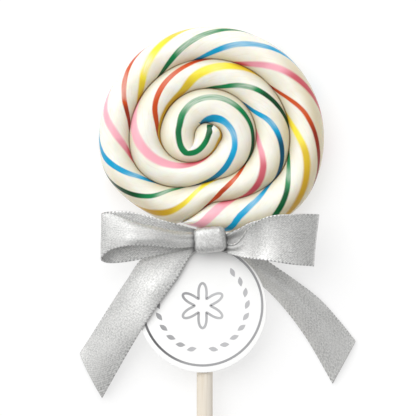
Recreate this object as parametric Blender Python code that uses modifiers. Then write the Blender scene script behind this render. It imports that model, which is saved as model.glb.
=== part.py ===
"""Swirl lollipop lying on its flat back, with its stick, a round card tag and a tied ribbon bow.

Metres, +Z up. The origin is in the middle of the candy head, on the plane that it rests on.
+X points to the right and +Y away from the stick, as seen from above.
"""

import math

import bmesh
import bpy
import numpy as np
from mathutils import Matrix, Vector

MM = 0.001
GAP = 0.3 * MM

# Candy head: one rope coiled clockwise, seen from above. Angles are degrees along the coil,
# measured clockwise from +X round a pole that lies above the head's middle.
HEAD_THICKNESS = 9.6 * MM
HEAD_MIDDLE = HEAD_THICKNESS / 2
BACK_BULGE = 6.4 * MM
POLE_OFFSET = 2.75 * MM
COIL_START = 135
COIL_END = 1188
COIL_STEP = 9
TURN = 360
GROOVE_ANGLE = 36
GROOVE_FADE = COIL_STEP
FULL_CROWN_WIDTH = 5.0 * MM
ROPE_ROWS = 8

# Where the groove outside the rope lies: angle along the coil and distance from the head's
# middle in mm. The turns are nearly round, and each climbs to the next in one short step.
COIL_LEVELS = (
    (-225, 3.5),
    (-90, 3.5),
    (10, 1.4),
    (55, 1.7),
    (178, 12.7),
    (215, 12.9),
    (440, 10.3),
    (525, 20.4),
    (740, 19.4),
    (806, 15.9),
    (838, 24.2),
    (885, 28.1),
    (1110, 28.1),
)

# Stick
STICK_DIAMETER = 4.0 * MM
STICK_LENGTH = 115 * MM
STICK_X = -1.7 * MM
STICK_TOP_Y = -4.5 * MM
STICK_SIDES = 24
STICK_EDGE = 0.4 * MM
BORE_END_Y = -36 * MM

# Tag
TAG_RADIUS = 16.05 * MM
TAG_THICKNESS = 0.4 * MM
TAG_X = -2.25 * MM
TAG_Y = -42.5 * MM
TAG_SIDES = 64

# Ribbon
RIBBON_THICKNESS = 0.5 * MM
RIBBON_ROWS = 4
LOOP_COLUMNS = 26
TAIL_COLUMNS = 16
KNOT_SIZE = (8.5 * MM, 6.3 * MM, 5.1 * MM)
KNOT_CENTRE = (-0.4 * MM, -25.3 * MM, 10.4 * MM)
KNOT_TURN = math.radians(6)
KNOT_LEVELS = 3
CAGE_SHRINK = 0.84
WRAP_WIDTH = 1.7 * MM
WRAP_Y = -25.25 * MM
WRAP_HALF_SPAN = 2.65 * MM
WRAP_LOW = 2.1 * MM
WRAP_HIGH = 8.6 * MM
WRAP_COLUMNS = 20

# Each band of ribbon runs through a few stations, from the knot outwards. A station holds its
# two edges as (x, y, z) in mm, then how far the ribbon is arched between them.
LEFT_LOOP = (
    ((-1.6, -23.7, 10.6), (-1.6, -26.7, 10.8), 0.5),
    ((-8.8, -23.2, 12.4), (-8.8, -27.2, 13.0), 1.4),
    ((-14.6, -22.0, 13.7), (-14.6, -26.6, 15.2), 1.6),
    ((-20.2, -20.6, 13.8), (-20.4, -26.6, 15.8), 1.2),
    ((-24.9, -18.9, 12.8), (-24.9, -27.6, 14.7), 0.6),
    ((-27.4, -18.9, 11.2), (-27.5, -29.9, 12.2), 0.0),
    ((-25.4, -18.4, 9.9), (-25.6, -31.0, 9.5), 0.0),
    ((-20.0, -18.4, 10.0), (-20.0, -30.5, 8.9), 0.0),
    ((-11.4, -20.7, 10.3), (-11.4, -28.7, 9.2), 0.0),
    ((-1.6, -23.4, 10.0), (-1.6, -26.9, 9.5), 0.0),
)
RIGHT_LOOP = (
    ((1.6, -25.6, 10.8), (1.6, -27.8, 10.8), 0.3),
    ((5.6, -26.6, 12.0), (5.2, -28.9, 11.6), 0.5),
    ((9.3, -22.4, 13.9), (8.6, -29.7, 12.8), 1.0),
    ((14.0, -19.6, 15.3), (13.6, -30.3, 13.9), 0.9),
    ((21.0, -19.0, 14.9), (20.4, -31.3, 14.0), 0.4),
    ((25.6, -19.0, 13.2), (24.4, -31.7, 12.9), 0.0),
    ((26.7, -19.1, 11.6), (25.4, -31.8, 11.4), 0.0),
    ((24.8, -19.3, 10.2), (23.6, -31.3, 9.9), 0.0),
    ((17.6, -19.8, 10.1), (17.0, -30.4, 9.0), 0.0),
    ((10.2, -20.5, 10.3), (9.6, -29.2, 9.2), 0.0),
    ((1.6, -23.4, 10.0), (1.6, -26.9, 9.5), 0.0),
)
LEFT_TAIL = (
    ((-1.6, -24.2, 9.2), (-0.8, -27.2, 9.2), 0.0),
    ((-9.6, -26.0, 8.3), (-4.9, -28.6, 9.1), 0.4),
    ((-17.2, -30.1, 6.0), (-8.6, -34.7, 8.6), 1.2),
    ((-21.2, -35.6, 5.2), (-12.6, -40.2, 8.6), 1.6),
    ((-25.8, -42.6, 3.0), (-17.0, -46.8, 8.2), 1.4),
    ((-30.6, -50.2, 1.4), (-22.0, -55.2, 5.6), 1.2),
    ((-33.1, -54.0, 0.8), (-27.5, -65.0, 2.2), 0.8),
)
RIGHT_TAIL = (
    ((1.2, -26.6, 9.2), (1.2, -24.4, 9.4), 0.0),
    ((4.7, -26.9, 6.0), (6.8, -25.3, 7.8), 0.0),
    ((8.2, -33.2, 3.4), (13.6, -30.4, 5.0), 1.2),
    ((14.3, -38.2, 2.2), (21.3, -35.8, 2.4), 2.2),
    ((19.4, -43.8, 1.6), (27.2, -40.4, 1.4), 2.2),
    ((24.6, -51.1, 1.0), (32.1, -45.8, 1.0), 1.8),
    ((30.5, -61.4, 0.8), (36.2, -50.9, 0.8), 0.8),
)

MERGE_DISTANCE = 0.000001


def clear_scene():
    """Remove every object, so that the script starts from an empty scene."""
    for thing in list(bpy.data.objects):
        bpy.data.objects.remove(thing, do_unlink=True)


def make_collection(name):
    collection = bpy.data.collections.new(name)
    bpy.context.scene.collection.children.link(collection)
    return collection


def make_material(name, colour, roughness, metallic=0.0):
    material = bpy.data.materials.new(name)
    material.use_nodes = True
    shader = material.node_tree.nodes["Principled BSDF"]
    shader.inputs["Base Color"].default_value = (*colour, 1.0)
    shader.inputs["Roughness"].default_value = roughness
    shader.inputs["Metallic"].default_value = metallic
    return material


def object_from_bmesh(name, shape, collection, material=None):
    mesh = bpy.data.meshes.new(name)
    shape.to_mesh(mesh)
    shape.free()
    thing = bpy.data.objects.new(name, mesh)
    collection.objects.link(thing)
    if material is not None:
        mesh.materials.append(material)
    return thing


def grid_faces(columns, rows, first=0):
    """Quads of a grid of vertices that is stored column by column."""
    faces = []
    for column in range(columns - 1):
        for row in range(rows - 1):
            corner = first + column * rows + row
            faces.append((corner, corner + 1, corner + rows + 1, corner + rows))
    return faces


def shade_round(thing, angle=40):
    thing.data.shade_smooth()
    thing.data.set_sharp_from_angle(angle=math.radians(angle))


# Candy head


def eased_level(angle, named_levels):
    """A level between the named ones, eased by a half cosine."""
    angles, levels = np.array(named_levels, dtype=float).T
    step = np.clip(np.searchsorted(angles, angle, side="right") - 1, 0, len(angles) - 2)
    share = np.clip((angle - angles[step]) / (angles[step + 1] - angles[step]), 0, 1)
    eased = (1 - np.cos(np.pi * share)) / 2
    return levels[step] + (levels[step + 1] - levels[step]) * eased


def groove_radius(angle):
    """Distance of a groove from the pole. The outer end narrows onto the turn inside it."""
    outer_end = (COIL_END, eased_level(COIL_END - TURN, COIL_LEVELS))
    level = eased_level(angle, (*COIL_LEVELS, outer_end))
    return level * MM + POLE_OFFSET * np.sin(np.radians(angle))


def groove_point(angle):
    radius = groove_radius(angle)
    x = radius * np.cos(np.radians(angle))
    y = POLE_OFFSET - radius * np.sin(np.radians(angle))
    return x, y


def groove_sine(angle):
    """How deep two turns are fused: the sine of the rope's side angle where they meet.

    It fades to nothing where the last turn ends, and the rope's outer side is free from there.
    """
    free_from = COIL_END - TURN
    share = np.clip((free_from - angle) / GROOVE_FADE, 0, 1)
    return np.sin(np.radians(GROOVE_ANGLE)) * share


def rope_sections():
    """Inner and outer groove angles of each cross section, from the inner tip to the outer end.

    The inner end is hooked: its sections run between two stretches of the same groove. After
    it each section lies between one groove and the next, a turn further out.
    """
    hook = np.arange(TURN // 2 // COIL_STEP, 0, -1) * COIL_STEP
    coil = np.arange(COIL_START, COIL_END + COIL_STEP, COIL_STEP)
    inner = np.concatenate([COIL_START - TURN + hook, coil - TURN])
    outer = np.concatenate([COIL_START - hook, coil])
    return inner.astype(float), outer.astype(float)


def rope_skin(inner, outer, bulge):
    """Points on one side of the rope: an elliptical arch from groove to groove."""
    half = ROPE_ROWS // 2
    inner_x, inner_y = groove_point(inner)
    outer_x, outer_y = groove_point(outer)
    width = np.hypot(outer_x - inner_x, outer_y - inner_y)
    sines = {True: groove_sine(inner), False: groove_sine(outer)}
    fused = np.maximum(sines[True], sines[False])
    crown = fused + (1 - fused) * np.sqrt(np.clip(width / FULL_CROWN_WIDTH, 0, 1))
    points = []
    for row in range(ROPE_ROWS + 1):
        on_inner_half = row < half
        sine = sines[on_inner_half]
        lowest = np.arcsin(sine)
        rise = abs(row - half) / half
        turn = np.pi / 2 - (np.pi / 2 - lowest) * rise
        reach = np.cos(turn) / np.cos(lowest) / 2
        across = 0.5 - reach if on_inner_half else 0.5 + reach
        arch = (np.sin(turn) - sine) / (1 - sine)
        height = HEAD_MIDDLE + bulge * (sine + (crown - sine) * arch)
        x = inner_x + (outer_x - inner_x) * across
        y = inner_y + (outer_y - inner_y) * across
        points.append(np.stack([x, y, np.maximum(height, 0)], axis=-1))
    return np.stack(points, axis=1)


def build_head(collection, cutters, material):
    """The coiled rope as one solid, domed above and pressed flat below, with the stick's bore."""
    inner, outer = rope_sections()
    columns = len(inner)
    rows = ROPE_ROWS + 1
    front = rope_skin(inner, outer, HEAD_MIDDLE).reshape(-1, 3)
    back = rope_skin(inner, outer, -BACK_BULGE).reshape(-1, 3)
    shape = bmesh.new()
    corners = [shape.verts.new(point) for point in np.concatenate([front, back])]
    for face in grid_faces(columns, rows) + grid_faces(columns, rows, len(front)):
        shape.faces.new([corners[index] for index in face])
    bmesh.ops.remove_doubles(shape, verts=shape.verts, dist=MERGE_DISTANCE)
    bmesh.ops.recalc_face_normals(shape, faces=shape.faces)
    bmesh.ops.triangulate(shape, faces=shape.faces)
    head = object_from_bmesh("candy_head", shape, collection, material)
    shade_round(head)

    bore = bmesh.new()
    top_y = STICK_TOP_Y + GAP
    lay_down = Matrix.Rotation(math.radians(90), 4, "X")
    place = Matrix.Translation((STICK_X, (top_y + BORE_END_Y) / 2, HEAD_MIDDLE)) @ lay_down
    bore_radius = STICK_DIAMETER / 2 + GAP
    bmesh.ops.create_cone(
        bore,
        cap_ends=True,
        segments=STICK_SIDES,
        radius1=bore_radius,
        radius2=bore_radius,
        depth=top_y - BORE_END_Y,
        matrix=place,
    )
    cutter = object_from_bmesh("stick_bore", bore, cutters)
    cutter.hide_render = True
    cutter.display_type = "WIRE"
    cut = head.modifiers.new("Stick bore", "BOOLEAN")
    cut.operation = "DIFFERENCE"
    cut.solver = "EXACT"
    cut.object = cutter
    return head


# Stick and tag


def build_stick(collection, material):
    shape = bmesh.new()
    bmesh.ops.create_cone(
        shape,
        cap_ends=True,
        segments=STICK_SIDES,
        radius1=STICK_DIAMETER / 2,
        radius2=STICK_DIAMETER / 2,
        depth=STICK_LENGTH,
    )
    stick = object_from_bmesh("stick", shape, collection, material)
    stick.location = (STICK_X, STICK_TOP_Y - STICK_LENGTH / 2, HEAD_MIDDLE)
    stick.rotation_euler = (math.radians(90), 0, 0)
    edge = stick.modifiers.new("Eased ends", "BEVEL")
    edge.width = STICK_EDGE
    edge.segments = 2
    edge.limit_method = "ANGLE"
    edge.angle_limit = math.radians(60)
    shade_round(stick)
    return stick


def build_tag(collection, material):
    """A round card that lies on the stick."""
    shape = bmesh.new()
    bmesh.ops.create_cone(
        shape,
        cap_ends=True,
        segments=TAG_SIDES,
        radius1=TAG_RADIUS,
        radius2=TAG_RADIUS,
        depth=TAG_THICKNESS,
    )
    tag = object_from_bmesh("tag", shape, collection, material)
    stick_top = HEAD_MIDDLE + STICK_DIAMETER / 2
    tag.location = (TAG_X, TAG_Y, stick_top + GAP + TAG_THICKNESS / 2)
    shade_round(tag)
    return tag


# Ribbon bow


def smooth_through(stations, count):
    """Points on a smooth curve through the stations, which are rows of an array."""
    before = 2 * stations[:1] - stations[1:2]
    after = 2 * stations[-1:] - stations[-2:-1]
    held = np.concatenate([before, stations, after])
    place = np.linspace(0, len(stations) - 1, count)
    step = np.minimum(place.astype(int), len(stations) - 2)
    share = (place - step)[:, None]
    p0, p1, p2, p3 = (held[step + offset] for offset in range(4))
    return p1 + 0.5 * share * (
        p2 - p0 + share * (2 * p0 - 5 * p1 + 4 * p2 - p3 + share * (3 * (p1 - p2) + p3 - p0))
    )


def band_points(stations, count):
    """A grid of points between a band's two edges, arched along its own surface normal."""
    first = smooth_through(np.array([s[0] for s in stations]) * MM, count)
    second = smooth_through(np.array([s[1] for s in stations]) * MM, count)
    arch = smooth_through(np.array([[s[2]] for s in stations]) * MM, count)
    along = np.gradient((first + second) / 2, axis=0)
    normal = np.cross(along, second - first)
    normal /= np.linalg.norm(normal, axis=1, keepdims=True)
    across = np.linspace(0, 1, RIBBON_ROWS + 1)[None, :, None]
    flat = first[:, None] + (second - first)[:, None] * across
    return flat + (normal * arch)[:, None] * 4 * across * (1 - across)


def build_band(name, points, collection, closed=False):
    """A strip of ribbon: an open surface given its thickness by Solidify."""
    columns, rows = points.shape[:2]
    shape = bmesh.new()
    corners = [shape.verts.new(point) for point in points.reshape(-1, 3)]
    faces = grid_faces(columns, rows)
    if closed:
        last = (columns - 1) * rows
        faces += [(last + row, last + row + 1, row + 1, row) for row in range(rows - 1)]
    for face in faces:
        shape.faces.new([corners[index] for index in face])
    band = object_from_bmesh(name, shape, collection)
    wall = band.modifiers.new("Cloth", "SOLIDIFY")
    wall.thickness = RIBBON_THICKNESS
    wall.offset = 0
    return band


def wrap_points():
    """The turn of ribbon round the stick: an oval that reaches up into the knot."""
    turn = np.linspace(0, 2 * np.pi, WRAP_COLUMNS, endpoint=False)
    x = STICK_X + WRAP_HALF_SPAN * np.cos(turn)
    z = (WRAP_HIGH + WRAP_LOW) / 2 + (WRAP_HIGH - WRAP_LOW) / 2 * np.sin(turn)
    y = WRAP_Y + WRAP_WIDTH * np.array([-0.5, 0.5])
    return np.stack(
        [np.repeat(x[:, None], 2, 1), np.repeat(y[None, :], len(turn), 0), np.repeat(z[:, None], 2, 1)],
        axis=-1,
    )


def build_knot(collection, material):
    """The knot: a cushion rounded from a box, which shrinks to the knot's size as it is rounded."""
    shape = bmesh.new()
    bmesh.ops.create_cube(shape, size=1.0)
    bmesh.ops.scale(shape, vec=Vector(KNOT_SIZE) / CAGE_SHRINK, verts=shape.verts)
    knot = object_from_bmesh("ribbon_bow", shape, collection, material)
    knot.location = KNOT_CENTRE
    knot.rotation_euler = (0, 0, KNOT_TURN)
    rounding = knot.modifiers.new("Rounded", "SUBSURF")
    rounding.levels = KNOT_LEVELS
    rounding.render_levels = KNOT_LEVELS
    return knot


def build_ribbon(collection, cutters, material):
    """One length of ribbon: wrap, knot, two loops and two tails, joined into one solid."""
    knot = build_knot(collection, material)
    pieces = bpy.data.collections.new("ribbon pieces")
    cutters.children.link(pieces)
    for name, stations, count in (
        ("left loop", LEFT_LOOP, LOOP_COLUMNS),
        ("right loop", RIGHT_LOOP, LOOP_COLUMNS),
        ("left tail", LEFT_TAIL, TAIL_COLUMNS),
        ("right tail", RIGHT_TAIL, TAIL_COLUMNS),
    ):
        build_band(name, band_points(stations, count), pieces)
    build_band("wrap", wrap_points(), pieces, closed=True)
    join = knot.modifiers.new("One ribbon", "BOOLEAN")
    join.operation = "UNION"
    join.solver = "EXACT"
    join.operand_type = "COLLECTION"
    join.collection = pieces
    bpy.context.view_layer.update()
    joined = bpy.data.meshes.new_from_object(knot.evaluated_get(bpy.context.evaluated_depsgraph_get()))
    knot.modifiers.clear()
    knot.data = joined
    for piece in list(pieces.objects):
        bpy.data.objects.remove(piece, do_unlink=True)
    bpy.data.collections.remove(pieces)
    shade_round(knot)
    return knot


def build():
    clear_scene()
    lollipop = make_collection("lollipop")
    cutters = make_collection("cutters")
    candy = make_material("boiled sugar", (0.94, 0.90, 0.83), 0.18)
    wood = make_material("stick", (0.86, 0.80, 0.70), 0.6)
    card = make_material("card", (0.93, 0.93, 0.92), 0.55)
    satin = make_material("satin ribbon", (0.52, 0.52, 0.52), 0.35)
    build_head(lollipop, cutters, candy)
    build_stick(lollipop, wood)
    build_tag(lollipop, card)
    build_ribbon(lollipop, cutters, satin)


build()
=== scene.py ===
"""A swirl lollipop lying on its flat back: coiled striped candy, stick, card tag and satin bow.

Metres, +Z up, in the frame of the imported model: the origin is in the middle of the candy head, on
the plane that it rests on, +X points to the right and +Y away from the stick. The camera looks
straight down.
"""

import logging
import math
from collections.abc import Sequence
from dataclasses import dataclass, field
from enum import Enum

import bmesh
import bpy
import numpy as np
from numpy.typing import NDArray
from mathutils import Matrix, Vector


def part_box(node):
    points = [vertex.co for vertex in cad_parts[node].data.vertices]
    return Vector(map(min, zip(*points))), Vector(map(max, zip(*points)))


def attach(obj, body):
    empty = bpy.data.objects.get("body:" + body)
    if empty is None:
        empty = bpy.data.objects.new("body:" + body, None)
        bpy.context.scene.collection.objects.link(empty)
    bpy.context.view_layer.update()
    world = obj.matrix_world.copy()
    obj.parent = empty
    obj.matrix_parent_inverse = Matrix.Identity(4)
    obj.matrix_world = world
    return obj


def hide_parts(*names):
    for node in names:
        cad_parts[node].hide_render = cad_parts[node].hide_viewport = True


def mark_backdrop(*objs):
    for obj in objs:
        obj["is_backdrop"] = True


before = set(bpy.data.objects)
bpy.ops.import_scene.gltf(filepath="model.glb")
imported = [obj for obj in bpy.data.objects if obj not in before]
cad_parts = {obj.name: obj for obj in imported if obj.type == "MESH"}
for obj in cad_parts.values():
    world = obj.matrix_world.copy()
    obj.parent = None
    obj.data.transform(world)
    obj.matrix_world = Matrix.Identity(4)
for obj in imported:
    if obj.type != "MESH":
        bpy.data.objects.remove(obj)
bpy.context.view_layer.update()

MM = 0.001
TURN = 360
BODY = "root"
WELD_DISTANCE = 1e-7
RIBBON_WIDTH_MM = 12.7

Array = NDArray[np.float64]
Colour = tuple[float, float, float]
Socket = bpy.types.NodeSocket
Input = Socket | float
Station = tuple[tuple[float, float, float], tuple[float, float, float], float]

log = logging.getLogger("lollipop")


def linear(red: int, green: int, blue: int) -> Colour:
    """Turn a colour from 0 to 255 as a screen shows it into Blender's linear values.

    Args:
        red: Red, as on screen.
        green: Green, as on screen.
        blue: Blue, as on screen.

    Returns:
        The three linear values, each ((c + 0.055) / 1.055) to the power 2.4.
    """
    shown = np.array([red, green, blue]) / 255
    values = np.where(shown > 0.04045, ((shown + 0.055) / 1.055) ** 2.4, shown / 12.92)
    return tuple(float(value) for value in values)


# Curves and grids


def eased_level(angle: Array, named_levels: Sequence[tuple[float, float]]) -> Array:
    """Find a level between the named ones.

    Between two of them it is low + (high - low) * (1 - cos(pi * share)) / 2.

    Args:
        angle: Where the level is wanted.
        named_levels: Pairs of an angle and its level, in rising order of angle.

    Returns:
        The level at each angle.
    """
    angles, levels = np.array(named_levels, dtype=float).T
    step = np.clip(np.searchsorted(angles, angle, side="right") - 1, 0, len(angles) - 2)
    share = np.clip((angle - angles[step]) / (angles[step + 1] - angles[step]), 0, 1)
    eased = (1 - np.cos(np.pi * share)) / 2
    return levels[step] + (levels[step + 1] - levels[step]) * eased


def steady_curve(place: Array, knots: Array, values: Array) -> Array:
    """Join knots by cubic pieces that never overshoot.

    The slope at a knot is the harmonic mean of the slopes on its two sides, or nothing where
    they differ in sign. Past the ends the curve goes on straight.

    Args:
        place: Where the curve is wanted.
        knots: Rising places of the knots.
        values: The curve's value at each knot.

    Returns:
        The curve's value at each place.
    """
    gap = np.diff(knots)
    rise = np.diff(values) / gap
    agree = rise[:-1] * rise[1:] > 0
    total = np.where(agree, rise[:-1] + rise[1:], 1)
    slope = np.concatenate([rise[:1], np.where(agree, 2 * rise[:-1] * rise[1:] / total, 0), rise[-1:]])
    step = np.clip(np.searchsorted(knots, place, side="right") - 1, 0, len(gap) - 1)
    share = (place - knots[step]) / gap[step]
    t = np.clip(share, 0, 1)
    low, high, wide = values[step], values[step + 1], gap[step]
    curve = (
        low * (1 + 2 * t) * (1 - t) ** 2
        + high * t * t * (3 - 2 * t)
        + wide * t * (1 - t) * (slope[step] * (1 - t) - slope[step + 1] * t)
    )
    return curve + (share - t) * wide * np.where(share < 0, slope[step], slope[step + 1])


def smooth_through(stations: Array, count: int) -> Array:
    """Carry a smooth curve through stations.

    Each stretch is the cubic that leaves a station in line with its two neighbours.

    Args:
        stations: One row for each station.
        count: How many points the curve gets.

    Returns:
        The curve's points, one a row.
    """
    before = 2 * stations[:1] - stations[1:2]
    after = 2 * stations[-1:] - stations[-2:-1]
    held = np.concatenate([before, stations, after])
    place = np.linspace(0, len(stations) - 1, count)
    step = np.minimum(place.astype(int), len(stations) - 2)
    share = (place - step)[:, None]
    p0, p1, p2, p3 = (held[step + offset] for offset in range(4))
    return p1 + 0.5 * share * (
        p2 - p0 + share * (2 * p0 - 5 * p1 + 4 * p2 - p3 + share * (3 * (p1 - p2) + p3 - p0))
    )


def unit(vectors: Array) -> Array:
    """Shorten or stretch vectors, which are the last axis, to length 1."""
    return vectors / np.maximum(np.linalg.norm(vectors, axis=-1, keepdims=True), 1e-12)


def travelled(path: Array) -> Array:
    """Give the distance along a path of points at each of them."""
    steps = np.linalg.norm(np.diff(path, axis=0), axis=1)
    return np.concatenate([[0], np.cumsum(steps)])


@dataclass
class Grid:
    """A patch of surface: points on a grid, with named values at the same places.

    Args:
        points: Places, as columns by rows by 3.
        values: Vectors by name, each as columns by rows by 3.
    """

    points: Array
    values: dict[str, Array] = field(default_factory=dict)


def mesh_object(name: str, grids: Sequence[Grid], sharp_over: float = 180) -> bpy.types.Object:
    """Make one object of grids whose edges meet.

    Each grid becomes quads between neighbouring columns and rows. Points that coincide are
    welded, which closes seams and poles, and the faces are turned outwards. The named values
    are kept for each corner of each face, so they may jump at a seam.

    Args:
        name: The object's name.
        grids: The patches. All carry the same named values.
        sharp_over: Edges over this angle, in degrees, are shaded sharp.

    Returns:
        The object, in the scene.
    """
    corners, first = [], 0
    for grid in grids:
        columns, rows = grid.points.shape[:2]
        index = first + np.arange(columns * rows).reshape(columns, rows)
        corners.append(np.stack([index[:-1, :-1], index[1:, :-1], index[1:, 1:], index[:-1, 1:]], -1))
        first += columns * rows
    faces = np.concatenate([c.reshape(-1, 4) for c in corners])
    places = np.concatenate([grid.points.reshape(-1, 3) for grid in grids])
    mesh = bpy.data.meshes.new(name)
    mesh.vertices.add(len(places))
    mesh.vertices.foreach_set("co", places.ravel())
    mesh.loops.add(faces.size)
    mesh.loops.foreach_set("vertex_index", faces.ravel())
    mesh.polygons.add(len(faces))
    mesh.polygons.foreach_set("loop_start", np.arange(0, faces.size, 4))
    mesh.update(calc_edges=True)
    for key in grids[0].values:
        spread = np.concatenate([grid.values[key].reshape(-1, 3) for grid in grids])
        layer = mesh.attributes.new(key, "FLOAT_VECTOR", "CORNER")
        layer.data.foreach_set("vector", spread[faces.ravel()].ravel())
    work = bmesh.new()
    work.from_mesh(mesh)
    bmesh.ops.remove_doubles(work, verts=work.verts, dist=WELD_DISTANCE)
    bmesh.ops.recalc_face_normals(work, faces=work.faces)
    work.to_mesh(mesh)
    work.free()
    mesh.shade_smooth()
    if sharp_over < 180:
        mesh.set_sharp_from_angle(angle=math.radians(sharp_over))
    thing = bpy.data.objects.new(name, mesh)
    bpy.context.scene.collection.objects.link(thing)
    return thing


def closed_skin(middle: Grid, half_thickness: Array) -> list[Grid]:
    """Give an open surface two sides and a rounded rim.

    A side is the surface moved by half the thickness along its own normal, up or down. The rim
    runs once round the border as a half circle from one side to the other, and swings round on
    the spot at each corner.

    Args:
        middle: The surface half way through, with its values.
        half_thickness: Half the thickness at each of its points.

    Returns:
        The patches of the closed skin.
    """
    points = middle.points
    along, across = np.gradient(points, axis=0), np.gradient(points, axis=1)
    normal = unit(np.cross(along, across))
    offset = normal * half_thickness[..., None]
    patches = [Grid(points + offset, middle.values), Grid(points - offset, middle.values)]
    columns, rows = points.shape[:2]
    out, over = np.arange(columns), np.arange(rows)
    first_column, last_column = np.zeros(rows, int), np.full(rows, columns - 1)
    first_row, last_row = np.zeros(columns, int), np.full(columns, rows - 1)
    column = np.concatenate([out, last_column, out[::-1], first_column, [0]])
    row = np.concatenate([first_row, over, last_row, over[::-1], [0]])
    outward = np.concatenate([-across[:, 0], along[-1], across[::-1, -1], -along[0, ::-1], -across[:1, 0]])
    turn = np.linspace(0, np.pi, 5)
    reach = unit(outward) * half_thickness[column, row][:, None]
    rim = points[column, row][:, None] + offset[column, row][:, None] * np.cos(turn)[:, None]
    rim = rim + reach[:, None] * np.sin(turn)[:, None]
    border = {key: value[column, row][:, None] for key, value in middle.values.items()}
    held = {key: np.repeat(value, len(turn), 1) for key, value in border.items()}
    return [*patches, Grid(rim, held)]


# Materials


class Blend(Enum):
    """How one colour is laid over another."""

    COVER = "MIX"
    STAIN = "MULTIPLY"


class Shader:
    """A material and the steps by which its node tree is wired."""

    def __init__(self, name: str) -> None:
        """Start a material that has only its surface shader and output.

        Args:
            name: The material's name.
        """
        self.material = bpy.data.materials.new(name)
        self.material.use_nodes = True
        self.tree = self.material.node_tree
        self.surface = self.tree.nodes["Principled BSDF"]

    def node(self, kind: str, **settings: object) -> bpy.types.Node:
        """Add a node.

        Args:
            kind: Blender's name for the node, without ShaderNode.
            settings: Properties of the node.

        Returns:
            The node.
        """
        made = self.tree.nodes.new("ShaderNode" + kind)
        for key, value in settings.items():
            setattr(made, key, value)
        return made

    def feed(self, socket: Socket, source: Input | Colour) -> None:
        """Link a socket to a source, or set it where the source is a constant.

        Args:
            socket: The socket.
            source: Another node's output, a number or a colour.
        """
        if isinstance(source, bpy.types.NodeSocket):
            self.tree.links.new(source, socket)
        elif isinstance(source, tuple):
            socket.default_value = (*source, 1.0) if len(socket.default_value) == 4 else source
        else:
            socket.default_value = source

    def finish(self, **values: Input | Colour) -> None:
        """Feed sockets of the surface shader, named with underscores for spaces."""
        for key, value in values.items():
            self.feed(self.surface.inputs[key.replace("_", " ")], value)

    def maths(self, operation: str, *inputs: Input) -> Socket:
        """Work out a number.

        Args:
            operation: Blender's name for it.
            inputs: The numbers that it works on.

        Returns:
            The socket that holds the result.
        """
        made = self.node("Math", operation=operation)
        for socket, source in zip(made.inputs, inputs):
            self.feed(socket, source)
        return made.outputs[0]

    def times(self, first: Input, second: Input) -> Socket:
        """Multiply two numbers."""
        return self.maths("MULTIPLY", first, second)

    def plus(self, first: Input, second: Input) -> Socket:
        """Add two numbers."""
        return self.maths("ADD", first, second)

    def less(self, first: Input, second: Input) -> Socket:
        """Take the second number from the first."""
        return self.maths("SUBTRACT", first, second)

    def wave(self, place: Input, length: float) -> Socket:
        """Give a sine along a place, of the given wave length."""
        return self.maths("SINE", self.times(place, math.tau / length))

    def ramp(self, value: Input, low: Input, high: Input, start: float = 0.0, end: float = 1.0) -> Socket:
        """Carry a value smoothly from start to end as it goes from low to high.

        Args:
            value: The value.
            low: Where the ramp starts.
            high: Where it ends.
            start: What it gives up to low.
            end: What it gives from high on.

        Returns:
            The socket that holds the result.
        """
        made = self.node("MapRange", interpolation_type="SMOOTHSTEP")
        for socket, source in zip(made.inputs, (value, low, high, start, end)):
            self.feed(socket, source)
        return made.outputs[0]

    def uneven(self, noise: Socket, start: float, end: float) -> Socket:
        """Carry a value from start to end with the middle range of a noise."""
        return self.ramp(noise, 0.3, 0.7, start, end)

    def mix(
        self, share: Input, under: Input | Colour, over: Input | Colour, how: Blend = Blend.COVER
    ) -> Socket:
        """Lay one colour over another.

        Args:
            share: How much of the upper colour shows, from 0 to 1.
            under: The lower colour.
            over: The upper colour.
            how: The way it is laid.

        Returns:
            The socket that holds the mixed colour.
        """
        made = self.node("Mix", data_type="RGBA", blend_type=how.value)
        self.feed(made.inputs["Factor"], share)
        self.feed(made.inputs[6], under)
        self.feed(made.inputs[7], over)
        return made.outputs[2]

    def parts(self, vector: Socket) -> tuple[Socket, Socket, Socket]:
        """Take a vector apart.

        Args:
            vector: The socket that holds it.

        Returns:
            Its three numbers.
        """
        made = self.node("SeparateXYZ")
        self.tree.links.new(vector, made.inputs[0])
        return made.outputs[0], made.outputs[1], made.outputs[2]

    def attribute(self, name: str) -> tuple[Socket, Socket, Socket]:
        """Give the three numbers of a named value of the mesh."""
        return self.parts(self.node("Attribute", attribute_name=name).outputs["Vector"])

    def place(self) -> Socket:
        """Give the place on the object, in metres."""
        return self.node("TexCoord").outputs["Object"]

    def vector(self, x: Input, y: Input, z: Input = 0.0) -> Socket:
        """Join three numbers to a vector.

        Args:
            x: The first number.
            y: The second.
            z: The third.

        Returns:
            The socket that holds the vector.
        """
        made = self.node("CombineXYZ")
        for socket, source in zip(made.inputs, (x, y, z)):
            self.feed(socket, source)
        return made.outputs[0]

    def noise(self, where: Socket, scale: float, detail: float = 2.0, rough: float = 0.5) -> Socket:
        """Give soft noise about 0.5.

        Args:
            where: The coordinates that it reads.
            scale: How many lumps there are in one unit of them.
            detail: How many finer layers are added.
            rough: How strong the finer layers are.

        Returns:
            The socket that holds the noise.
        """
        made = self.node("TexNoise")
        self.tree.links.new(where, made.inputs["Vector"])
        made.inputs["Scale"].default_value = scale
        made.inputs["Detail"].default_value = detail
        made.inputs["Roughness"].default_value = rough
        return made.outputs[0]

    def relief(self, height: Socket, depth: float) -> None:
        """Raise the surface's shading.

        Args:
            height: The height, from 0 to 1.
            depth: How much that is, in metres.
        """
        made = self.node("Bump")
        made.inputs["Strength"].default_value = 1.0
        made.inputs["Distance"].default_value = depth
        self.tree.links.new(height, made.inputs["Height"])
        self.tree.links.new(made.outputs[0], self.surface.inputs["Normal"])


class StripeEdge(Enum):
    """How sharply a stripe ends, as the share of a turn round the rope over which it fades."""

    CRISP = 0.007
    SOFT = 0.014


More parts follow.
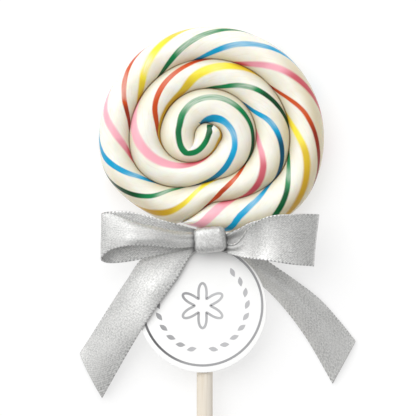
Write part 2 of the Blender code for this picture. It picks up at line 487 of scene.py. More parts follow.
@dataclass(frozen=True)
class Stripe:
    """One stripe of the candy rope.

    Args:
        name: The name of the value that the mesh carries for it.
        colour: Its colour in the light.
        painted_shade: Its colour where shade is painted, in the grooves and on shaded sides.
        widths: Pairs of an angle along the coil and its width there, in mm.
        edge: How sharply it ends.
        painted_light: Pairs of an angle along the coil and the painted light there, from -1
        for a painted highlight that pales the stripe, over 0 for its own colour, to 1 for
        painted shade.
        passes: For each time that it shows past the first turns, the three angles along the
            coil at which it rises out of the inner groove, crosses the crown and sets in the
            outer groove. RISES, CROWN and SETS are those three places round the rope.
        led: Angles along the coil, with where the stripe then is round the rope, for the first
            turns. Both are in degrees.
        first_pass: How often it has gone round the rope before the first of the passes.
    """

    name: str
    colour: Colour
    painted_shade: Colour
    widths: tuple[tuple[float, float], ...]
    edge: StripeEdge
    painted_light: tuple[tuple[float, float], ...]
    passes: tuple[tuple[float, float, float], ...]
    led: tuple[tuple[float, float], ...] = ()
    first_pass: int = 0

    RISES = 35.5
    CROWN = 90.0
    SETS = 144.5

    def place_round_rope(self, angle: Array) -> Array:
        """Find where the stripe is round the rope.

        It goes through the led places, and on each pass through the rising, crown and setting
        places, a full turn further each time.

        Args:
            angle: Angles along the coil, in degrees.

        Returns:
            Angles round the rope, in degrees, 0 at its inner side and 90 at its crown.
        """
        knots = list(self.led)
        for number, marks in enumerate(self.passes, self.first_pass):
            spots = (self.RISES, self.CROWN, self.SETS)
            knots += [(mark, spot + TURN * number) for mark, spot in zip(marks, spots)]
        along, around = np.array(knots, dtype=float).T
        return steady_curve(angle, along, around)


# The angles at which the stripes show were read off the photograph. The last pass of each
# lies past the rope's end, and carries the twist on to there.
STRIPES = (
    Stripe(
        "green",
        linear(2, 130, 72),
        linear(2, 60, 30),
        ((300, 1.45), (640, 1.3)),
        StripeEdge.CRISP,
        painted_light=(
            (30, 0.9), (70, 0.7), (100, 0.0), (135, 0.2), (170, 0.5), (240, -0.8), (300, -0.9),
            (345, 0.3), (378, 0.6), (645, 0.1), (672, -0.8), (690, 0.9), (710, 1.0), (840, -0.2),
            (846, -0.7), (852, 0.0), (860, 0.9), (868, 1.0), (955, 0.4), (972, -0.8),
            (990, -0.6), (1000, 0.2), (1104, -0.1), (1112, -0.6), (1122, 0.7), (1143, 0.5),
        ),
        passes=(
            (639, 672, 710), (841.5, 852, 868), (950, 972, 998), (1104, 1122, 1143),
            (1250, 1268, 1290),
        ),
        led=(
            (-45, 40), (45, 56), (67, 80), (90, 97), (112, 105), (135, 98), (165, 88), (180, 90),
            (210, 103), (240, 113.4), (270, 119), (300, 123.5), (330, 128.7), (360, 137.8),
            (378, 144.5),
        ),
        first_pass=1,
    ),
    Stripe(
        "blue",
        linear(2, 160, 206),
        linear(4, 76, 104),
        ((300, 2.2), (420, 1.5), (860, 1.35)),
        StripeEdge.CRISP,
        painted_light=(
            (225, 0.4), (255, 0.25), (300, 0.2), (345, -0.25), (375, -0.5), (405, 0.0),
            (428, 0.3), (450, 0.6), (695, 0.2), (705, 0.0), (716, -0.5), (735, 1.0), (750, 1.0),
            (862, 0.0), (868, -0.5), (875, -0.1), (888, 0.1), (993, 0.0), (1005, -0.6),
            (1020, -0.6), (1031, 0.0), (1130, 0.0), (1140, -0.5), (1152, 0.0),
        ),
        passes=(
            (695, 716.5, 750), (862, 875, 888), (983, 1005, 1031), (1130, 1152, 1162.5),
            (1277, 1295, 1315),
        ),
        led=(
            (-45, -62), (100, -38), (160, -30), (190, -20), (205, 20), (225, 35.5), (255, 46),
            (300, 55.6), (345, 66.6), (375, 75), (405, 89), (420, 101), (435, 120), (450, 144.5),
        ),
        first_pass=1,
    ),
    Stripe(
        "pink",
        linear(244, 174, 188),
        linear(198, 76, 88),
        ((540, 2.2), (740, 1.6), (1100, 1.6), (1165, 2.5)),
        StripeEdge.SOFT,
        painted_light=(
            (478, 0.5), (498, 0.1), (518, 0.0), (540, -0.3), (736, 0.1), (745, 0.3), (758, 0.85),
            (780, 1.0), (884, 0.5), (890, 0.3), (897, -0.2), (910, -0.1), (1017, 0.5),
            (1026, 0.3), (1037, -0.1), (1050, 0.9), (1062, 1.0), (1160, 0.2), (1170, -0.3),
            (1181, -0.1),
        ),
        passes=(
            (478, 518, 545), (735.5, 758, 780), (884, 897.5, 910.5), (1017, 1037, 1062),
            (1160, 1172, 1181), (1303, 1320, 1340),
        ),
        led=(
            (-45, -115), (100, -88), (200, -75), (378, -30), (440, 0),
        ),
    ),
    Stripe(
        "red",
        linear(205, 78, 22),
        linear(138, 38, 22),
        ((540, 1.25), (1000, 1.1)),
        StripeEdge.CRISP,
        painted_light=(
            (536, 0.5), (548, 0.2), (565, 0.1), (590, -0.3), (614, 0.0), (777, 0.0),
            (786, -0.35), (799, 0.5), (811, 0.2), (904, 0.7), (911, 0.8), (920, -0.6),
            (930, -0.5), (939, 0.1), (1051, 0.2), (1070, -0.15), (1085, 0.9), (1099, 1.0),
        ),
        passes=(
            (536, 565.5, 614), (777, 799, 811), (904.5, 920, 939.5), (1051, 1070, 1099),
            (1200, 1218, 1240),
        ),
        led=(
            (-45, -165), (100, -138), (200, -125), (378, -110), (480, -20),
        ),
    ),
    Stripe(
        "yellow",
        linear(245, 228, 62),
        linear(198, 152, 34),
        ((620, 2.1), (840, 1.75)),
        StripeEdge.SOFT,
        painted_light=(
            (584, 0.7), (598, 0.55), (616, 0.1), (636, -0.35), (655, 0.2), (818, 0.0),
            (823, -0.5), (831, 0.4), (838, 0.9), (846, 1.0), (926, 0.5), (932, 0.35),
            (943, -1.0), (956, 0.0), (967, 0.3), (1077, 0.0), (1085, 0.0), (1096, 0.6),
            (1112, 0.9), (1126, 1.0),
        ),
        passes=(
            (584, 616, 655), (817.5, 831, 846), (925.5, 943, 967), (1077, 1096, 1126),
            (1229, 1247, 1270),
        ),
        led=(
            (-45, 140), (0, 148), (60, 155), (95, 168), (130, 192), (378, 222), (450, 270),
            (500, 338), (520, 372), (545, 383),
        ),
        first_pass=1,
    ),
)


@dataclass(frozen=True)
class SugarFinish:
    """Pulled boiled sugar: white, slightly see-through, with stripes and fine pulled lines.

    Args:
        body: The white's colour.
        tan_and_painted_shade: Its tan in random patches and pulled lines, and its colour in
        the painted shade beside the grooves and on the rope's sides away from the light.
        groove: The colour of the painted shade line in the grooves.
        roughness: How dull the gloss is.
        line_depth: Depth of the pulled lines, in metres.
        stray: How far the pulled lines push a stripe's edge, in turns round the rope.
        translucence: How much of the light goes into the white before it comes back.
        stripe_cover: The share of that which a stripe takes away.
    """

    body: Colour = linear(242, 241, 233)
    tan_and_painted_shade: Colour = linear(214, 203, 170)
    groove: Colour = linear(150, 122, 80)
    roughness: float = 0.27
    line_depth: float = 0.00003
    stray: float = 0.012
    translucence: float = 0.85
    stripe_cover: float = 0.85

    def stripe(
        self, shader: Shader, stripe: Stripe, lines: Socket, crease: Socket
    ) -> tuple[Socket, Socket]:
        """Find where a stripe covers the white, and its colour there.

        Its edges stray with the pulled lines. It goes to its colour of painted shade with its
        level of painted light and towards the grooves, and pales to the white as a painted
        highlight where that level is under 0.

        Args:
            shader: The material's steps.
            stripe: The stripe.
            lines: The noise of the pulled lines.
            crease: How near a groove is.

        Returns:
            The share to which it covers the white, and its colour.
        """
        turns, half_width, painted_light_level = shader.attribute(stripe.name)
        from_middle = shader.maths("ABSOLUTE", shader.maths("WRAP", turns, 0.5, -0.5))
        from_middle = shader.plus(from_middle, shader.times(shader.less(lines, 0.5), self.stray))
        inside = shader.less(half_width, stripe.edge.value)
        outside = shader.plus(half_width, stripe.edge.value)
        there = shader.ramp(from_middle, inside, outside, 1.0, 0.0)
        # Painted shade: the stripe goes to its shaded colour with its painted light level and towards the
        # grooves.
        painted_shade = shader.plus(painted_light_level, shader.ramp(crease, 0.4, 0.95, 0.0, 0.7))
        pulled = shader.ramp(lines, 0.35, 0.65, 0.5, 1.0)
        # Painted highlight: where the painted light level is under 0 the stripe pales towards the white.
        painted_highlight = shader.times(shader.ramp(painted_light_level, -1.0, 0.0, 0.55, 0.0), pulled)
        return there, shader.mix(painted_highlight, shader.mix(painted_shade, stripe.colour, stripe.painted_shade), self.body)

    def material(self) -> bpy.types.Material:
        """Wire the material.

        The mesh carries, for each stripe, the turns round the rope from it, its half width and
        its level of painted light, for the rope the millimetres along it, the turns round it
        and how near a groove is, and for the painted shade on the rope's sides its level.

        Returns:
            The material.
        """
        shader = Shader("boiled sugar")
        along, around, crease = shader.attribute("rope")
        painted_side_shade = shader.attribute("painted_side_shade")[0]
        lines = shader.noise(shader.vector(shader.times(along, 0.004), around), 60.0, 3.0)
        broad = shader.noise(shader.vector(shader.times(along, 0.05), around), 5.0)
        patches = shader.noise(shader.vector(shader.times(along, 0.07), 0.0), 1.0)
        colour = shader.mix(shader.ramp(broad, 0.35, 0.75, 0.0, 0.2), self.body, self.tan_and_painted_shade)
        colour = shader.mix(shader.ramp(lines, 0.5, 0.8, 0.0, 0.3), colour, self.tan_and_painted_shade)
        # Painted shade on the rope's sides that face away from the light.
        colour = shader.mix(shader.times(painted_side_shade, 0.9), colour, self.tan_and_painted_shade)
        # Painted shade beside the grooves.
        colour = shader.mix(shader.ramp(crease, 0.1, 0.95, 0.0, 0.85), colour, self.tan_and_painted_shade)
        clear: Input = self.translucence
        for stripe in STRIPES:
            there, ink = self.stripe(shader, stripe, lines, crease)
            colour = shader.mix(there, colour, ink)
            clear = shader.times(clear, shader.less(1.0, shader.times(there, self.stripe_cover)))
        # Painted shade: a dark line in the grooves, which fades in patches.
        fading = shader.ramp(patches, 0.35, 0.65, 0.35, 0.95)
        painted_groove_shade = shader.times(shader.ramp(crease, 0.82, 0.97), fading)
        shader.finish(
            Base_Color=shader.mix(painted_groove_shade, colour, self.groove, Blend.STAIN),
            Roughness=shader.uneven(lines, self.roughness, self.roughness + 0.08),
            IOR=1.5,
            Specular_IOR_Level=0.2,
            Subsurface_Weight=clear,
            Subsurface_Radius=(1.0, 0.75, 0.45),
            Subsurface_Scale=0.004,
            Coat_Weight=0.3,
            Coat_Roughness=0.1,
        )
        shader.relief(lines, self.line_depth)
        return shader.material


@dataclass(frozen=True)
class SatinFinish:
    """Grey satin ribbon, woven, with a stitched edge.

    Args:
        light: The colour of the raised threads.
        dark: The colour between the threads.
        stitch_gap_and_painted_shade: The colour between the stitches of the edge, and of the
        painted shade beside the knot, on it and in the loops' narrow ends.
        edge_light: The colour of the stitches.
        width: The ribbon's width, in millimetres.
        stitch: The distance from stitch to stitch along the edge, in millimetres.
        edge: The width of the stitched edge, in millimetres.
        rib: The distance between the slanting ribs of the weave, in millimetres.
        weft: The distance between the threads along the ribbon, in millimetres.
        warp: The distance between the threads across it, in millimetres.
        thread_depth: How far the threads stand out, in metres.
    """

    light: Colour = linear(226, 226, 224)
    dark: Colour = linear(176, 176, 175)
    stitch_gap_and_painted_shade: Colour = linear(128, 128, 129)
    edge_light: Colour = linear(236, 236, 235)
    width: float = RIBBON_WIDTH_MM
    stitch: float = 0.95
    edge: float = 0.24
    rib: float = 0.62
    weft: float = 0.34
    warp: float = 0.28
    thread_depth: float = 0.00006

    def stitches(self, shader: Shader, along: Socket, across: Socket) -> tuple[Socket, Socket]:
        """Sew the two edges.

        The stitches are light where a sine along the edge is high, and show in patches.

        Args:
            shader: The material's steps.
            along: Millimetres along the ribbon.
            across: Millimetres across it.

        Returns:
            The share to which the stitched edge shows, and its colour.
        """
        from_edge = shader.maths("MINIMUM", across, shader.less(self.width, across))
        at_edge = shader.ramp(from_edge, self.edge * 0.8, self.edge * 1.2, 1.0, 0.0)
        patches = shader.noise(shader.vector(shader.times(along, 0.12), 0.0, across), 1.0, 1.0)
        high = shader.ramp(shader.wave(along, self.stitch), -0.6, 0.4)
        shows = shader.times(at_edge, shader.ramp(patches, 0.35, 0.65, 0.1, 0.7))
        return shows, shader.mix(high, self.stitch_gap_and_painted_shade, self.edge_light)

    def material(self) -> bpy.types.Material:
        """Wire the material.

        The mesh carries the millimetres along the ribbon and across it, and how much shade is
        painted on the place, beside and on the knot and in the loops' narrow ends.

        Returns:
            The material.
        """
        shader = Shader("grey satin")
        along, across, cloth_painted_shade = shader.attribute("cloth")
        on_cloth = shader.vector(along, across)
        threads = shader.noise(shader.vector(shader.times(along, 0.55), across), 3.4, 2.0, 0.6)
        speckle = shader.noise(on_cloth, 2.1, 1.0)
        cloud = shader.noise(on_cloth, 0.22)
        crossed = shader.times(shader.wave(along, self.weft), shader.wave(across, self.warp))
        mottle = shader.plus(shader.times(threads, 0.5), shader.times(speckle, 0.5))
        ribs = shader.times(shader.wave(shader.plus(along, across), self.rib), 0.055)
        colour = shader.mix(shader.ramp(shader.plus(mottle, ribs), 0.36, 0.64), self.dark, self.light)
        colour = shader.mix(shader.uneven(cloud, 0.0, 0.35), colour, self.light)
        shows, thread = self.stitches(shader, along, across)
        colour = shader.mix(shows, colour, thread)
        # Painted shade beside and on the knot and in the loops' narrow ends darkens the colour.
        shader.finish(
            Base_Color=shader.mix(shader.times(cloth_painted_shade, 0.8), colour, self.stitch_gap_and_painted_shade, Blend.STAIN),
            Roughness=shader.uneven(mottle, 0.4, 0.28),
            Metallic=0.65,
            Specular_IOR_Level=0.8,
            Sheen_Weight=0.1,
            Sheen_Roughness=0.4,
        )
        weave = shader.maths("MULTIPLY_ADD", crossed, 0.5, 0.5)
        raised = shader.plus(shader.times(weave, 0.5), shader.times(threads, 0.8))
        shader.relief(raised, self.thread_depth)
        return shader.material


@dataclass(frozen=True)
class CardFinish:
    """Smooth white card with a faint felt grain.

    Args:
        face: The card's colour.
        shadow: Its colour in the slow clouds of the felt.
        roughness: How matt it is.
        grain_depth: Depth of the grain, in metres.
    """

    face: Colour = linear(252, 252, 251)
    shadow: Colour = linear(244, 244, 243)
    roughness: float = 0.6
    grain_depth: float = 0.00001

    def material(self) -> bpy.types.Material:
        """Wire the material: two scales of noise tint the face and raise the grain.

        Returns:
            The material.
        """
        shader = Shader("white card")
        where = shader.place()
        grain = shader.noise(where, 2600.0, 3.0, 0.6)
        cloud = shader.noise(where, 160.0)
        shader.finish(
            Base_Color=shader.mix(shader.uneven(cloud, 0.0, 0.25), self.face, self.shadow),
            Roughness=shader.uneven(grain, self.roughness, self.roughness + 0.1),
            Specular_IOR_Level=0.35,
        )
        shader.relief(grain, self.grain_depth)
        return shader.material


@dataclass(frozen=True)
class FoilFinish:
    """Silver foil pressed on card, which catches the light unevenly.

    Args:
        name: The material's name.
        bright: Its colour where a painted reflection brightens it.
        dull: Its colour elsewhere.
        roughness: How dull its gloss is.
        grain_depth: Depth of its grain, in metres.
    """

    name: str
    bright: Colour
    dull: Colour
    roughness: float = 0.5
    grain_depth: float = 0.00001

    def material(self) -> bpy.types.Material:
        """Wire the material: a slow noise over the place carries the foil from dull to bright.

        Returns:
            The material.
        """
        shader = Shader(self.name)
        where = shader.place()
        sweep = shader.noise(where, 62.0, 1.0)
        grain = shader.noise(where, 3000.0)
        # Painted reflection: a slow noise carries the foil's colour from dull to bright.
        shader.finish(
            Base_Color=shader.mix(shader.ramp(sweep, 0.36, 0.64), self.dull, self.bright),
            Roughness=shader.uneven(grain, self.roughness, self.roughness + 0.12),
            Metallic=0.1,
            Specular_IOR_Level=0.3,
        )
        shader.relief(grain, self.grain_depth)
        return shader.material


@dataclass(frozen=True)
class WoodFinish:
    """Pale close-grained wood, whose grain runs along the stick.

    Args:
        pale: The colour between the grain's lines.
        line: The colour of the grain's lines.
        drawn_out: How much shorter the grain is across the stick than along it.
        roughness: How matt it is.
        grain_depth: Depth of the grain, in metres.
    """

    pale: Colour = linear(234, 226, 213)
    line: Colour = linear(208, 196, 176)
    drawn_out: float = 0.025
    roughness: float = 0.62
    grain_depth: float = 0.00004

    def material(self) -> bpy.types.Material:
        """Wire the material: noise drawn out along the stick gives lines and pores.

        Returns:
            The material.
        """
        shader = Shader("pale wood")
        x, y, z = shader.parts(shader.place())
        where = shader.vector(x, shader.times(y, self.drawn_out), z)
        lines = shader.noise(where, 1500.0, 3.0, 0.6)
        broad = shader.noise(where, 420.0)
        colour = shader.mix(shader.ramp(lines, 0.45, 0.75, 0.0, 0.75), self.pale, self.line)
        shader.finish(
            Base_Color=shader.mix(shader.ramp(broad, 0.4, 0.7, 0.0, 0.4), colour, self.line),
            Roughness=shader.uneven(lines, self.roughness, self.roughness + 0.12),
            Specular_IOR_Level=0.3,
        )
        shader.relief(lines, self.grain_depth)
        return shader.material


@dataclass(frozen=True)
class FloorFinish:
    """Plain white studio floor, a light table.

    Args:
        white: Its colour.
        cloud: Its colour in the faint clouds.
        lamp: The colour of its own light.
        glow: How bright its own light is.
    """

    white: Colour = (0.42, 0.42, 0.42)
    cloud: Colour = (0.4, 0.4, 0.4)
    lamp: Colour = (1.0, 1.0, 1.0)
    glow: float = 0.6

    def material(self) -> bpy.types.Material:
        """Wire the material: one matt white with a breath of noise, lit from under.

        Returns:
            The material.
        """
        shader = Shader("studio floor")
        shader.finish(
            Base_Color=shader.mix(shader.noise(shader.place(), 3.0, 1.0), self.white, self.cloud),
            Roughness=0.9,
            Specular_IOR_Level=0.0,
            Emission_Color=self.lamp,
            Emission_Strength=self.glow,
        )
        return shader.material


# Candy


@dataclass(frozen=True)
class Coil:
    """The spiral grooves of the candy, and the sections of the rope between them.

    Angles are degrees along the coil, measured clockwise from +X round a pole above the head's
    middle. The groove outside the rope is at a named level for each angle, and the groove inside
    it is the same one a turn earlier.

    Args:
        pole: How far the pole lies above the head's middle, in metres.
        start: The angle at which the hooked inner end has opened out.
        end: The angle at which the outer end closes.
        levels: Pairs of an angle and the groove's distance from the head's middle, in mm.
        groove_angle: How steep the rope's sides are where two turns are fused, in degrees.
        step: The angle between sections.
        groove_fade: The angle over which the groove gets less steep towards its end.
    """

    pole: float = 2.75 * MM
    start: float = 135
    end: float = 1188
    levels: tuple[tuple[float, float], ...] = (
        (-225, 3.5), (-90, 3.5), (10, 1.4), (55, 1.7), (178, 12.7), (215, 12.9), (440, 10.3),
        (525, 20.4), (740, 19.4), (806, 15.9), (838, 24.2), (885, 28.1), (1110, 28.1),
    )
    groove_angle: float = 36
    step: float = 1.5
    groove_fade: float = 9

    def groove(self, angle: Array) -> Array:
        """Find points of the groove.

        The radius is the level plus the pole's height times the sine of the angle. Beyond the
        last level the groove runs in to the one a turn earlier.

        Args:
            angle: Angles along the coil.

        Returns:
            Points in the plane, one a row.
        """
        outer_end = (self.end, float(eased_level(np.array(self.end - TURN), self.levels)))
        level = eased_level(angle, (*self.levels, outer_end))
        around = np.radians(angle)
        radius = level * MM + self.pole * np.sin(around)
        return np.stack([radius * np.cos(around), self.pole - radius * np.sin(around)], -1)

    def groove_sine(self, angle: Array) -> Array:
        """Give the sine of the side angle in the groove, which ends where the last turn does."""
        share = np.clip((self.end - TURN - angle) / self.groove_fade, 0, 1)
        return np.sin(np.radians(self.groove_angle)) * share

    def sections(self) -> tuple[Array, Array]:
        """List the sections of the rope, from the inner tip to the outer end.

        Returns:
            The angles at which each section meets the inner and the outer groove.
        """
        half_turn = TURN / 2
        hook = np.arange(half_turn, 0, -self.step)
        coil = np.arange(self.start, self.end + self.step / 2, self.step)
        inner = np.concatenate([self.start - TURN + hook, coil - TURN])
        outer = np.concatenate([self.start - hook, coil])
        return inner, outer


@dataclass
class CandyHead:
    """The candy: one striped rope, coiled flat while soft.

    Args:
        coil: Its grooves and sections.
        middle: The height of the rope's axis.
        front_bulge: The height of the crown over the axis.
        back_bulge: The depth of the back under the axis before it is pressed flat.
        full_crown_width: The width from which the rope has its full height, in metres.
        front_rows: Steps over the front of a section.
        back_rows: Steps over the back of a section.
        lobe: The height of the low ridges that run with the twist, in metres.
        lobes: How many there are round the rope.
        seen_side: The angle round the rope at which its face meets the groove, in degrees.
        rim_from: The angle over the rope's side, in degrees, under which the free rim carries the
            stripes by the true angle round the rope.
        rim_clean: How much of the painted shade beside the grooves the free rim goes without.
        least_girth: The least width of the rope that its girth is worked out from, in mm.
        steepest: The greatest slope that widens a stripe.
        inner_painted_shade: Pairs of an angle along the coil and how much shade is painted on
            the inner side there, where it faces away from the light.
        outer_painted_shade: The same for the outer side.
        painted_shade_reach: How far down the rope's side the painted shade has its level, from
            0 at the crown to 1 in the groove.
        finish: Its material.
    """

    coil: Coil = Coil()
    middle: float = 4.8 * MM
    front_bulge: float = 4.8 * MM
    back_bulge: float = 6.4 * MM
    full_crown_width: float = 5.0 * MM
    front_rows: int = 40
    back_rows: int = 16
    lobe: float = 0.07 * MM
    lobes: int = 5
    seen_side: float = 20
    rim_from: float = 42
    rim_clean: float = 0.6
    least_girth: float = 6.0
    steepest: float = 2.0
    inner_painted_shade: tuple[tuple[float, float], ...] = (
        (135, 0.3), (480, 0.0), (700, 0.1), (870, 0.25), (900, 0.2), (1000, 0.2), (1040, 0.25),
        (1085, 0.2), (1120, 0.0),
    )
    outer_painted_shade: tuple[tuple[float, float], ...] = (
        (135, 0.5), (200, 0.1), (380, 0.3), (450, 0.5), (500, 0.1), (690, 0.1), (730, 0.8),
        (860, 0.7), (890, 0.0), (1020, 0.0), (1050, 0.9), (1140, 1.0), (1188, 0.5),
    )
    painted_shade_reach: float = 0.6
    finish: SugarFinish = SugarFinish()

    def skin(self, bulge: float, rows: int) -> Grid:
        """Work out one side of the rope.

        Over a section the height is an elliptical arch from groove to groove: with a the angle
        from the side's own angle b to 90 degrees at the crown, the distance across goes with
        cos a / cos b and the height with (sin a - sin b) / (1 - sin b).

        Args:
            bulge: The height of the arch, negative for the back.
            rows: Steps from groove to groove, an even number.

        Returns:
            The surface, with the named values of the stripes and of the rope.
        """
        inner, outer = self.coil.sections()
        inner_point, outer_point = self.coil.groove(inner), self.coil.groove(outer)
        width = np.linalg.norm(outer_point - inner_point, axis=1)
        inner_sine, outer_sine = self.coil.groove_sine(inner), self.coil.groove_sine(outer)
        fused = np.maximum(inner_sine, outer_sine)
        fullness = np.sqrt(np.clip(width / self.full_crown_width, 0, 1))
        crown = fused + (1 - fused) * fullness

        share = np.linspace(-1, 1, rows + 1)[None, :]
        sine = np.where(share < 0, inner_sine[:, None], outer_sine[:, None])
        lowest = np.arcsin(sine)
        turn = np.pi / 2 - (np.pi / 2 - lowest) * np.abs(share)
        across = 0.5 + np.sign(share) * np.cos(turn) / np.cos(lowest) / 2
        arch = (np.sin(turn) - sine) / (1 - sine)
        height = self.middle + bulge * (sine + (crown[:, None] - sine) * arch)

        seen = np.cos(np.radians(self.seen_side))
        round_rope = np.degrees(np.arccos((1 - 2 * across) * seen))
        free = (share > 0) * (1 - outer_sine[:, None] / np.sin(np.radians(self.coil.groove_angle)))
        steep = np.degrees(turn)
        past = np.clip(1 - steep / self.rim_from, 0, 1)
        true_share = past * past * (3 - 2 * past) * free
        round_rope = round_rope + (TURN / 2 - steep - round_rope) * true_share
        if bulge < 0:
            round_rope = TURN - round_rope
        else:
            twist = STRIPES[0].place_round_rope(outer)[:, None]
            ridge = np.cos(np.radians((round_rope - twist) * self.lobes))
            height = height - self.lobe * fullness[:, None] * arch * (1 - ridge) / 2
        plane = inner_point[:, None] + (outer_point - inner_point)[:, None] * across[..., None]
        points = np.concatenate([plane, np.maximum(height, 0)[..., None]], -1)
        # Less painted shade beside the grooves on the free rim.
        arch = arch + (1 - arch) * self.rim_clean * free
        return Grid(points, self.values(inner_point, outer_point, outer, round_rope, arch))

    def values(
        self, inner: Array, outer: Array, angle: Array, round_rope: Array, arch: Array
    ) -> dict[str, Array]:
        """Work out what the material reads.

        A stripe's value is the turns round the rope from the stripe's middle, its half width
        in turns and its level of painted light. The half width is half its width over the
        rope's girth, times the square root of 1 + the square of the slope at which it crosses.
        The rope's value is the millimetres along it, the turns round it from the first stripe,
        and one minus the arch, which is 1 in the groove, a little less on the free rim and 0 on
        the crown, and sets the painted shade beside the grooves. The painted side shade is the
        level of the inner or of the outer side, and fades out at the crown.

        Args:
            inner: Points of the inner groove.
            outer: Points of the outer groove.
            angle: Angles along the coil.
            round_rope: Angles round the rope, for each section and row.
            arch: The arch's height from 0 to 1, for each section and row.

        Returns:
            The values by name.
        """
        values = {}
        plain = np.zeros_like(round_rope)
        along = travelled((inner + outer) / 2) / MM
        girth = np.pi * np.maximum(np.linalg.norm(outer - inner, axis=1) / MM, self.least_girth)
        for stripe in STRIPES:
            place = stripe.place_round_rope(angle) / TURN
            slope = np.clip(np.gradient(place) * girth / np.gradient(along), 0, self.steepest)
            half_width = eased_level(angle, stripe.widths) / 2 / girth * np.sqrt(1 + slope**2)
            turns = round_rope / TURN - place[:, None]
            painted_light_level = eased_level(angle, stripe.painted_light)
            values[stripe.name] = np.stack([turns, plain + half_width[:, None], plain + painted_light_level[:, None]], -1)
        first = (round_rope - STRIPES[0].place_round_rope(angle)[:, None]) / TURN
        values["rope"] = np.stack([plain + along[:, None], first, 1 - arch], -1)
        # Painted shade on the sides of the rope that face away from the light, at listed levels along the
        # coil.
        outward = (1 - np.cos(np.radians(round_rope))) / 2
        reach, painted_side_shade = self.painted_shade_reach, plain
        for levels, down in ((self.inner_painted_shade, 1 - 2 * outward), (self.outer_painted_shade, 2 * outward - 1)):
            painted_side_shade = painted_side_shade + eased_level(angle, levels)[:, None] * np.clip(down, 0, reach) / reach
        values["painted_side_shade"] = np.repeat(painted_side_shade[..., None], 3, axis=-1)
        return values

    def build(self) -> bpy.types.Object:
        """Make the candy from its front and its back.

        Returns:
            The candy, which stands for the solid.
        """
        front = self.skin(self.front_bulge, self.front_rows)
        back = self.skin(-self.back_bulge, self.back_rows)
        candy = mesh_object("candy", [front, back], sharp_over=50)
        candy.data.materials.append(self.finish.material())
        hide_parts("candy_head")
        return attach(candy, BODY)


# Stick


@dataclass
class Stick:
    """The stick: a round rod with eased ends.

    Args:
        radius: Its radius.
        edge: The radius of its eased ends.
        sides: Steps round it.
        rings: Steps along it.
        finish: Its material.
    """

    radius: float = 2.0 * MM
    edge: float = 0.4 * MM
    sides: int = 96
    rings: int = 60
    finish: WoodFinish = WoodFinish()

    def build(self) -> bpy.types.Object:
        """Turn the stick's outline round its axis.

        The outline runs from the middle of one end out along it, round the eased edge, along
        the side and back to the middle of the other end.

        Returns:
            The stick, which stands for the solid.
        """
        low, high = (np.array(corner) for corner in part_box("stick"))
        centre = (low + high) / 2
        bend = np.linspace(0, np.pi / 2, 7)
        rim_out = self.radius - self.edge + self.edge * np.sin(bend)
        rim_in = self.edge * (1 - np.cos(bend))
        side = np.linspace(low[1] + self.edge, high[1] - self.edge, self.rings)[1:-1]
        radius = np.concatenate([[0], rim_out, np.full(len(side), self.radius), rim_out[::-1], [0]])
        along = np.concatenate([[low[1]], low[1] + rim_in, side, high[1] - rim_in[::-1], [high[1]]])
        around = np.linspace(0, 2 * np.pi, self.sides + 1)
        around[-1] = 0
        x = centre[0] + radius[:, None] * np.cos(around)
        z = centre[2] + radius[:, None] * np.sin(around)
        points = np.stack([x, along[:, None] + 0 * x, z], -1)
        stick = mesh_object("wooden_stick", [Grid(points)], sharp_over=50)
        stick.data.materials.append(self.finish.material())
        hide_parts("stick")
        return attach(stick, BODY)


# Tag


